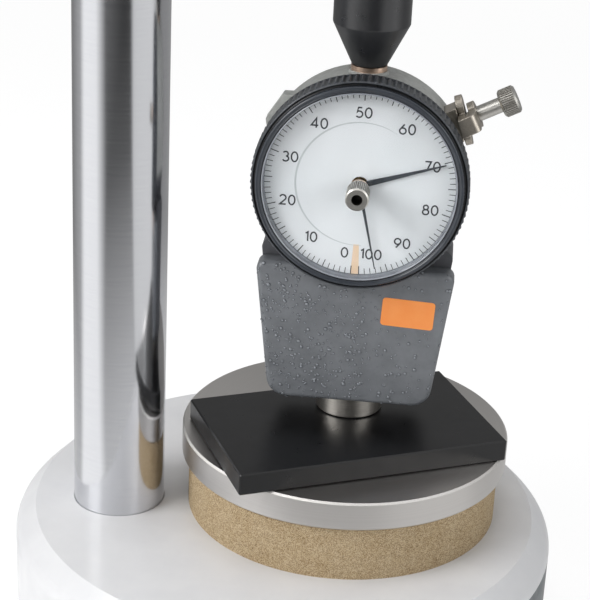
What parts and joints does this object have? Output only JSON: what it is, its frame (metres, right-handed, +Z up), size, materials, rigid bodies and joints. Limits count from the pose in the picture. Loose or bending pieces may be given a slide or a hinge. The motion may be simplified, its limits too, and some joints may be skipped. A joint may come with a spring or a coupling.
{
  "type": "durometer with stand",
  "caption": "Dial durometer held over a round steel table by a lever stand with a chromed column, with a rubber test block under its foot.",
  "frame": {"origin": "centre of the round base, on the surface that its feet stand on", "axes": "+Z up along the column, -Y the side that the dial faces, -X towards the column"},
  "size_m": [0.15, 0.15, 0.3399],
  "materials": {
    "base_paint": "satin light grey paint",
    "arm_paint": "satin light grey paint",
    "feet_rubber": "matte black rubber",
    "label_film": "bare dark grey label",
    "column_chrome": "ground hard chrome",
    "screw_steel": "blackened steel",
    "pad_cork": "speckled tan cork",
    "table_steel": "ground steel",
    "block_rubber": "satin black rubber",
    "bush_brass": "turned brass",
    "knob_plastic": "moulded black",
    "spindle_steel": "ground steel",
    "weight_steel": "turned steel",
    "holder_black": "satin black",
    "nickel": "satin nickel plate",
    "case_grey": "satin grey paint",
    "hammer_grey": "grey hammertone paint",
    "bezel_grey": "moulded dark grey",
    "crystal_clear": "clear",
    "dial_white": "printed white dial",
    "hand_black": "matte black",
    "spring_steel": "spring steel"
  },
  "bodies": {
    "stand": {"base": "base_paint", "base_feet": "feet_rubber", "label_plate": "label_film", "column": "column_chrome", "column_washer": "screw_steel", "column_bolt": "screw_steel", "table_pad": "pad_cork", "table": "table_steel", "table_screw": "screw_steel", "rubber_test_block": "block_rubber"},
    "arm": {"arm": "arm_paint", "lower_bush": "bush_brass", "upper_bush": "bush_brass", "pinion_bush": "bush_brass", "clamp_pad": "bush_brass"},
    "arm_clamp": {"clamp_stud": "spindle_steel", "clamp_knob": "knob_plastic"},
    "gauge": {"spindle": "spindle_steel", "stop_collar": "weight_steel", "weight": "weight_steel", "weight_nut": "screw_steel", "holder": "holder_black", "mount_stem": "nickel", "case": "case_grey", "front_housing": "hammer_grey", "housing_screws": "screw_steel", "back_cover": "case_grey", "cover_screws": "screw_steel", "presser_foot": "nickel", "calibrated_spring": "spring_steel", "spring_adjuster": "bush_brass", "front_plate": "bush_brass", "rear_plate": "bush_brass", "pillars": "bush_brass", "plate_screws": "screw_steel", "movement_screws": "screw_steel", "bezel_wire": "spring_steel", "clamp_bracket": "bush_brass", "clamp_clip": "nickel"},
    "lever": {"pinion_shaft": "spindle_steel", "lever_hub": "weight_steel", "lever_rod": "column_chrome", "lever_ball": "knob_plastic"},
    "bezel": {"bezel": "bezel_grey", "crystal": "crystal_clear", "crystal_ring": "bezel_grey", "dial_plate": "dial_white", "dial_ring": "spring_steel", "reset_bush": "bush_brass"},
    "peak": {"peak_hand": "hand_black", "reset_knob": "nickel"},
    "pointer": {"pointer_arbor": "spindle_steel", "pointer": "hand_black", "hairspring": "spring_steel"},
    "gear": {"gear_arbor": "spindle_steel", "drive_gear": "bush_brass"},
    "plunger": {"plunger": "spindle_steel", "indentor": "spindle_steel"},
    "thumbscrew": {"thumbscrew": "nickel"}
  },
  "joints": [
    {"name": "arm_height", "type": "slide", "parent": "stand", "child": "arm", "axis": [0, 0, 1], "range_m": [0, 0.084]},
    {"name": "arm_clamp_turn", "type": "hinge", "parent": "arm", "child": "arm_clamp", "pos_m": [-0.0465, -0.03, 0.2229], "axis": [0, -1, 0], "range_deg": [0, 360]},
    {"name": "spindle_lift", "type": "slide", "parent": "arm", "child": "gauge", "axis": [0, 0, 1], "range_m": [0, 0.012]},
    {"name": "lever_turn", "type": "hinge", "parent": "arm", "child": "lever", "pos_m": [0.0035, 0, 0.2229], "axis": [0, 1, 0], "range_deg": [-86, 0]},
    {"name": "bezel_turn", "type": "hinge", "parent": "gauge", "child": "bezel", "pos_m": [0.0165, 0, 0.1265], "axis": [0.1357, 0.9907, 0], "continuous": true},
    {"name": "peak_reset", "type": "hinge", "parent": "bezel", "child": "peak", "pos_m": [0.0165, 0, 0.1265], "axis": [0.1357, 0.9907, 0], "range_deg": [-344.36, 10.66]},
    {"name": "pointer_turn", "type": "hinge", "parent": "gauge", "child": "pointer", "pos_m": [0.0165, 0, 0.1265], "axis": [0.1357, 0.9907, 0], "range_deg": [-249.7, 105.5]},
    {"name": "gear_turn", "type": "hinge", "parent": "gauge", "child": "gear", "pos_m": [0.01333, 0.00043, 0.11822], "axis": [0.1357, 0.9907, 0], "range_deg": [-23.7, 56]},
    {"name": "plunger_slide", "type": "slide", "parent": "gauge", "child": "plunger", "axis": [0, 0, 1], "range_m": [-0.00176, 0.00074], "stiffness_N_per_m": 3010, "deforming": ["calibrated_spring"]},
    {"name": "bezel_clamp_turn", "type": "hinge", "parent": "gauge", "child": "thumbscrew", "pos_m": [0.04637, -0.00409, 0.14439], "axis": [0.8788, -0.1204, 0.4617], "range_deg": [0, 360]}
  ],
  "couplings": [
    {"joint": "lever_turn", "follows": "spindle_lift", "rad_per_m": -125},
    {"joint": "gear_turn", "follows": "plunger_slide", "rad_per_m": -555.56},
    {"joint": "pointer_turn", "follows": "plunger_slide", "rad_per_m": 2478.6}
  ]
}
